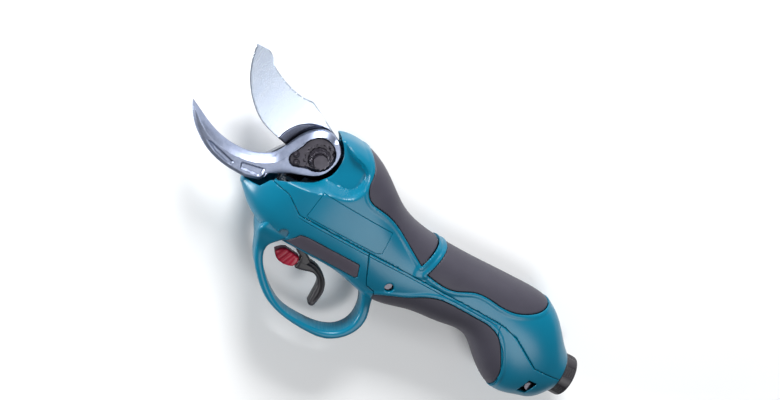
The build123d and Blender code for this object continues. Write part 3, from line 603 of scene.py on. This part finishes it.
def trim(columns):
    """Relief moulded into the casing: a lip beside each rubber pad, the groove round the name plate, the
    second line along the main seam and the line in front of the butt."""
    pad = np.max([columns[:, ORDER[name]] for name in ("front_pad", "rear_pad", "lower_pad")], axis=0)
    lip = 0.45 * (1 - ramp(-pad, 1.6, 3.4))
    pads = np.maximum(-columns[:, ORDER["front_pad"]], -columns[:, ORDER["rear_pad"]])
    band = 0.5 * (1 - ramp(pads, 6.5, 9.5))
    plate_line = -0.5 * groove(near_only(columns, columns[:, ORDER["plate"]]))
    length = ramp(columns[:, 0], 2, 8) * (1 - ramp(columns[:, 0], 148, 154))
    second_line = -0.5 * groove(double_seam(columns)) * length
    butt_line = -0.6 * groove(columns[:, ORDER["butt"]]) * (columns[:, ORDER["below"]] > 0)
    return lip + band * (pad < 0) + plate_line + second_line + butt_line


def double_seam(columns):
    """Distance from the line that runs beside the main seam."""
    return columns[:, ORDER["below"]] - 1.8


teal = dict(material=teal_nylon, body="body", slot="teal_plastic")
upper = [col("mouth"), col("below", -1), col("front_pad", -1), col("rear_pad", -1), wells]
upper_lines = [col("plate")]
build(
    "upper_shell", *patch(hollow_skin, upper, lift=trim, grooves=upper_lines), **teal,
    replaces=("upper_casing",),
    wall=SHELL_WALL, merge=0.03,
)
guard = [col("mouth"), col("below"), col("front"), wells, label_pocket, trigger_slot]
build(
    "guard_shell", *patch(hollow_skin, guard, lift=trim, grooves=[double_seam]), **teal,
    wall=SHELL_WALL, merge=0.03,
)
lower = [col("below"), col("front", -1), col("lower_pad", -1), wells]
build(
    "lower_shell", *patch(hollow_skin, lower, lift=trim, grooves=[double_seam, col("butt")]), **teal,
    replaces=("lower_casing",), wall=SHELL_WALL, merge=0.03,
)
for name, key in (("front_grip", "front_pad"), ("rear_grip", "rear_pad"), ("lower_grip", "lower_pad")):
    build(
        name, *patch(full_skin, [col(key)], radius=0.8), grip_rubber, "body", "grip_rubber",
        replaces=(name + "_pad",), wall=1.7, merge=0.05,
    )


def well_tube(x, y, radius):
    """Tube down from the skin to a casing screw, its mouth cut to the slope of the skin."""
    outer = radius + 0.7
    corners, faces = turned(
        [(radius, -0.6), (outer, -0.6), (outer, -7), (radius, -7), (radius, -0.6)], 48, at=(x, y)
    )
    top, low, half, power = cubic(STATIONS[:, 0], STATIONS[:, 1:], corners[:, 0]).T
    side = np.abs(corners[:, 1] - (top + low) / 2) / ((top - low) / 2)
    corners[:, 2] += half * (1 - np.minimum(side, 1) ** power) ** (1 / power)
    return corners, faces


for number, well in enumerate(WELLS):
    build(f"screw_well_{number + 1}", *well_tube(*well), **teal)
label_in = lambda columns: np.where(columns[:, 2] > 2.0, columns[:, ORDER["label"]], -30.0)
build(
    "warning_label", *patch(full_skin, [label_in], sink=0.25, radius=0.15), label_film, "body", "label_film",
    replaces=("label_panel",), wall=0.6, merge=0.05,
)


def guard_loop():
    """Finger guard: a flat loop 18 mm wide with rolled edges, widening where it runs into the head."""
    outer = run([
        (-9, -44), (-11.2, -50), (-11.7, -54.7), (-8.3, -62.2), (-3, -73.2), (4.5, -82.8), (16.9, -93.3),
        (33, -99.3), (50, -101.2), (63.5, -100.1), (73.2, -94.4), (79.4, -85.6), (80.8, -77), (77.6, -66),
        (74.5, -58), (71, -50),
    ], 120)
    inner = run([
        (58, -50), (63.5, -57), (68, -62), (71.8, -68), (74.4, -77), (73.6, -84.6), (69, -91.4),
        (60, -95.8), (45, -97), (31, -95.4), (17.5, -87.9), (7, -77.9), (1.6, -69.8), (0.6, -62.6),
        (3.0, -57.0), (8, -50), (14, -44),
    ], 120)

    def half(x, y, d):
        front = 7.5 * ramp(y, -70, -50) ** 1.5 * (x < 40)
        back = 6.5 * ramp(y, -72, -50) ** 1.5 * (x > 40)
        return 9.0 - roll(d, 2.2) + front + back

    return plate(np.concatenate([outer, inner]), half, lambda x, y, d: -half(x, y, d))


build("finger_guard", *guard_loop(), **teal, replaces=("guard_casing",), sharp=50)


# ---- blades ----
def arc(centre, radius, start, end, count=24):
    """Points on a circle from one angle to another, in degrees."""
    angle = np.radians(np.linspace(start, end, count))
    return np.c_[centre[0] + radius * np.cos(angle), centre[1] + radius * np.sin(angle)]


# Swing of the blade in degrees, and the two long edges of the blade at rest.
TRAVEL = 38.0
CUT_EDGE = run(
    [(-20, -3.6), (-28.3, -1.7), (-41.9, 2.6), (-51, 9.2), (-61.2, 21.7), (-66.4, 34), (-68.3, 42.5)], 50,
)
BACK = run(
    [(-59.6, 42.5), (-56, 40.3), (-53.3, 37), (-46.5, 32.7), (-35, 28.6), (-27, 27.4), (-20.6, 28)], 40,
)


def moving_blade():
    """Cutting blade: flat on its near face, with a wide bevel ground on the far face down to a thin edge,
    and a step 0.6 mm down to the hub."""
    tail = math.radians(-90 - TRAVEL / 2)
    tip = 25.0 * np.array([math.cos(tail), math.sin(tail)])
    side = 4.6 * np.array([-math.sin(tail), math.cos(tail)])
    start = math.degrees(tail) - 17.5
    hub = arc((0, 0), 15.5, 60, start + 35, 40)
    left = arc((0, 0), 15.5, start, start - 68 + 3, 14)
    end = arc(tip, 4.6, math.degrees(tail) + 90, math.degrees(tail) - 90, 16)
    outline = np.concatenate([BACK, hub, [side * 1.0 + tip * 0.62], end, left, CUT_EDGE])
    raised = lambda x, y: ramp(np.hypot(x - HUB_X, y - HUB_Y), 21.6, 22.4)
    near = lambda x, y, d: BLADE_FACE - roll(d, 0.15) - 0.6 * (1 - raised(x, y))
    ground = lambda x, y: np.clip(reach(x, y, CUT_EDGE[4:]) / 13.0, 0, 1)
    far = lambda x, y, d: np.where(np.hypot(x, y) > 17, 1.7 - 3.7 * ground(x, y) ** 0.9, -2.0)
    return plate(outline, near, far)


build(
    "cutting_blade", *moving_blade(), ground_steel, "blade", "blade_steel", replaces=("moving_blade",),
    sharp=30,
)

HOOK_OUTER = run(
    [(-84.6, -5.2), (-81.8, -11), (-73.2, -20.4), (-62.6, -27), (-51.1, -30.5), (-35, -31.5)], 60,
)
EYE = run([
    (-11.5, -16.1), (-2, -12.6), (5.4, -8.3), (9.6, 0), (9.8, 8), (5.6, 14.2), (-3.6, 17.4), (-13, 12.2),
    (-21.2, -3),
], 90)
HOOK_INNER = run([
    (-21.2, -3), (-24.6, -9.4), (-30.2, -13.6), (-38, -16.7), (-47, -17.8), (-57, -16.9), (-68.7, -13.1),
    (-77.5, -8.8), (-84.6, -5.2),
], 80)
COUNTER = np.concatenate([HOOK_OUTER, [(-25.3, -28.8), (-22.5, -22.2)], EYE, HOOK_INNER[1:-1]])
POCKETS = (
    np.array([(-66.6, -21.8), (-63.5, -21.0), (-44.6, -26.0), (-45.2, -29.0), (-48.5, -28.8),
        (-57.5, -26.3)]),
    np.array([(-41.4, -23.6), (-26.2, -20.6), (-25.6, -24.6), (-27.5, -27.0), (-39.8, -28.0)]),
)


def eye_well():
    """Teardrop round the bolt: two circles and their common tangents."""
    big, small = arc((-2.6, 2.4), 10.8, -95, 175, 70), arc((-12.2, -5.9), 5.3, 175, 265, 30)
    return np.concatenate([big, small])


def counter_blade():
    """Fixed hook: a hollow-ground bevel along its inner edge, two sloped pockets in its flank, a softly
    rolled outer edge and the teardrop well round the bolt."""
    inner_line = np.concatenate([EYE[52:], HOOK_INNER])
    well = eye_well()

    def near(x, y, d):
        width = 1.6 + 3.0 * ramp(x, -84, -66) - 1.0 * ramp(x, -24, -14)
        share = np.clip(reach(x, y, inner_line) / width, 0, 1)
        height = 9.05 - 4.6 * (1 - share) * (1 - 0.45 * ramp(x, -22, -10)) - roll(d, 0.7)
        height = height - 1.6 * ramp(-x, 62, 84) - 0.8 * (1 - ramp(d, 0.4, 2.2)) * (x < -24)
        for pocket, start, end in zip(POCKETS, (-66, -41), (-45, -26)):
            inside = distance(x, y, pocket)
            share = np.clip((x - start) / (end - start), 0, 1)
            height = height - ramp(inside, 0.0, 1.2) * (1.0 + 0.25 * share)
        return np.where(distance(x, y, well) > 0, WELL_FLOOR, np.maximum(height, 2.6))

    return plate(COUNTER, near, lambda x, y, d: np.full(x.shape, HOOK_BACK), step=0.4)


build(
    "hook_blade", *counter_blade(), forged_steel, "body", "forged_steel", replaces=("counter_blade",),
    sharp=24,
)


# ---- pivot ----
def lock_plate():
    """Dark plate that fills the teardrop well, with a sunk ring round the nut and teeth cut in its rim."""
    big, small = arc((-2.6, 2.4), 10.4, -95, 175, 70), arc((-12.2, -5.9), 4.9, 175, 265, 30)

    def top(x, y, d):
        away, angle = np.hypot(x, y), np.arctan2(y, x)
        tooth = 0.5 * np.sign(np.sin(14 * angle))
        sunk = ramp(away, 6.6, 7.0) * (1 - ramp(away, 9.0 + tooth, 9.4 + tooth))
        return 7.9 - roll(d, 0.5) - 1.5 * sunk * (x > -9.5)

    return plate(np.concatenate([big, small]), top, lambda x, y, d: np.full(x.shape, WELL_FLOOR), step=0.3)


build(
    "toothed_lock_plate", *lock_plate(), black_oxide, "body", "black_steel", replaces=("lock_plate",),
    sharp=30,
)
notch = lambda angle, row: np.where((row > 1) & (row < 8), 0.3 * np.cos(12 * angle), 0.0)
build("pivot_lock_nut", *turned([
    (4.2, WELL_FLOOR), (6.9, WELL_FLOOR), (6.9, 7.6), (6.6, 8.0), (6.1, 8.1), (6.0, 10.0), (5.6, 10.5),
    (4.9, 10.6), (4.3, 10.3), (4.2, 5.6),
], 144, ripple=notch), black_oxide, "body", "black_steel", replaces=("pivot_nut",), sharp=30)
for number, (x, y) in enumerate(((-14.3, -3.9), (-11.6, -8.3))):
    build(f"lock_screw_{number + 1}", *turned([
        (0.0, 7.8), (2.2, 7.8), (2.2, 8.5), (1.9, 9.2), (1.3, 9.6), (0.95, 9.65), (0.9, 8.9), (0.0, 8.8),
    ], 48, at=(x, y)), black_oxide, "body", "black_steel",
        replaces=("lock_plate_screws",) if number == 0 else (), sharp=30)


# ---- trigger ----
HOOK = np.concatenate([
    [(24.2, -61.2)],
    run([(27, -61), (33.7, -60.9), (40.5, -63.4), (46, -68.4), (48.6, -76.3), (47.9, -83.9)], 44),
    arc((45.5, -84.0), 2.4, -6, -172, 12),
    run([(43.1, -83.6), (42.6, -77), (41.2, -70), (37.2, -66.9), (31.6, -67.6), (27, -68.7)], 34),
    [(24.2, -68.9)],
])
SPINE = run([(27, -62.7), (33.5, -62.7), (39.3, -65.1), (44.1, -69.8), (46.4, -76.5), (46.0, -82)], 40)
finger = lambda x, y, d: 4.3 - roll(d, 1.7) - 0.75 * np.exp(-(reach(x, y, SPINE) / 0.6) ** 2)
build(
    "trigger_finger_hook", *plate(HOOK, finger, lambda x, y, d: -finger(x, y, d), step=0.35), black_nylon,
    "trigger",
    "black_nylon", sharp=50,
)
LEVER = np.array([
    (14, -54.5), (20, -59), (24, -61), (24.3, -68.9), (27.5, -68.5), (31, -60.8), (20.5, -54), (17, -49.5),
])
arm = lambda x, y, d: 4.2 - roll(d, 0.8)
build(
    "trigger_arm", *plate(LEVER, arm, lambda x, y, d: -arm(x, y, d), step=0.5), black_nylon, "trigger",
    "black_nylon",
    replaces=("trigger",), sharp=50,
)
LOCK = np.concatenate([
    [(23.9, -64.0), (22.8, -61.6), (19.4, -61), (13, -60.4), (10.2, -61.6)],
    run([(7.4, -65), (10.2, -68.4), (15, -70.2), (19.5, -69.9), (22.8, -68.6)], 24), [(23.9, -65.2)],
])


def lock_half(x, y, d):
    """Half width of the lock lever: rolled edges, with finger ribs every 3.4 mm across its outer end."""
    ribs = 0.55 * np.abs(np.sin((0.93 * x - 0.36 * y) * math.pi / 3.4)) * (1 - ramp(x, 19, 21))
    return 4.2 - roll(d, 1.4) - ribs


build(
    "red_lock_lever", *plate(LOCK, lock_half, lambda x, y, d: -lock_half(x, y, d), step=0.35), red_nylon,
    "lock_lever",
    "red_plastic", replaces=("lock_lever",), sharp=40,
)


# ---- collar ----
def knurled_collar():
    """Locking collar: a turned ring with diamond knurling in six zones between smooth ones."""
    start, end = 212.3, 221.3
    heights = np.linspace(start + 0.9, end - 0.9, 22)
    outer = [(10.75, start), (13.0, start), (13.6, start + 0.35)] + [(13.85, h) for h in heights]
    outer += [(13.6, end - 0.35), (13.0, end), (10.75, end), (10.75, start)]
    row_height = np.array([height for _, height in outer])

    def knurl(angle, row):
        zone = ramp(np.cos(6 * angle), -0.25, 0.1)
        inside = ((row > 2) & (row < 25)).astype(float)
        along = row_height[row] * 2 * math.pi / 1.7
        cut = 0.5 + 0.5 * np.cos(54 * angle + along) * np.cos(54 * angle - along)
        return -0.55 * zone * inside * cut

    corners, faces = turned(outer, 540, ripple=knurl)
    along, across, up = corners[:, 2], corners[:, 0], corners[:, 1]
    return np.c_[along, across - DROP, up], faces


build(
    "knurled_lock_collar", *knurled_collar(), black_nylon, "collar", "black_nylon",
    replaces=("connector_collar",), sharp=40,
)


# ---- floor, light and camera ----
floor_tint = finish("pale_paper_floor", "#F7F8F9", "#F4F5F6", 0.8, mottle=400, grain=40, bump=0.0)
sheet = bpy.data.meshes.new("floor")
sheet.from_pydata([(-6, -6, 0), (6, -6, 0), (6, 6, 0), (-6, 6, 0)], [], [(0, 1, 2, 3)])
sheet.materials.append(floor_tint)
floor = bpy.data.objects.new("floor", sheet)
bpy.context.scene.collection.objects.link(floor)
floor.location = (0, 0, min(cad_box[0][2], cad_box[1][2]) - 0.0003)

# Directions of the camera, its place from the pivot in metres and its focal length in millimetres.
BACK_TO_EYE = Vector((-0.302, 0.208, 0.93034))
RIGHT = Vector((0.83699, 0.52501, 0.15432))
UP = Vector((-0.45634, 0.82529, -0.33265))
LENS = 74.441538
eye = Vector((-0.24804, 0.205185, 0.93034)) + Vector(PIVOT)
aim = eye - BACK_TO_EYE


def softbox(name, direction, size, power, away=1.3):
    """Square studio light that faces the object from a direction."""
    lamp = bpy.data.lights.new(name, "AREA")
    lamp.shape = "RECTANGLE"
    lamp.size, lamp.size_y = size
    lamp.energy = power
    holder = bpy.data.objects.new(name, lamp)
    holder.location = aim + direction.normalized() * away
    holder.rotation_euler = direction.to_track_quat("Z", "Y").to_euler()
    bpy.context.scene.collection.objects.link(holder)


softbox("key_light", BACK_TO_EYE * 0.9 + UP * 0.95 + RIGHT * 0.3, (0.5, 0.4), 30)
softbox("nose_light", BACK_TO_EYE * 0.3 - RIGHT * 1.0 + UP * 0.1, (0.3, 0.6), 24)
softbox("fill_light", Vector((0.41, -0.22, 0.88)), (0.5, 0.4), 5.0)
world = bpy.data.worlds.new("studio")
world.use_nodes = True
world.node_tree.nodes["Background"].inputs["Color"].default_value = linear("#F2F5F8")
world.node_tree.nodes["Background"].inputs["Strength"].default_value = 0.24
bpy.context.scene.world = world

camera = bpy.data.cameras.new("camera")
camera.sensor_width = 36.0
camera.lens = LENS
camera.clip_end = 20.0
view = bpy.data.objects.new("camera", camera)
view.matrix_world = Matrix((
    (RIGHT.x, UP.x, BACK_TO_EYE.x, eye.x), (RIGHT.y, UP.y, BACK_TO_EYE.y, eye.y),
    (RIGHT.z, UP.z, BACK_TO_EYE.z, eye.z), (0, 0, 0, 1),
))
bpy.context.scene.collection.objects.link(view)
bpy.context.scene.camera = view
bpy.context.scene.view_settings.view_transform = "Standard"
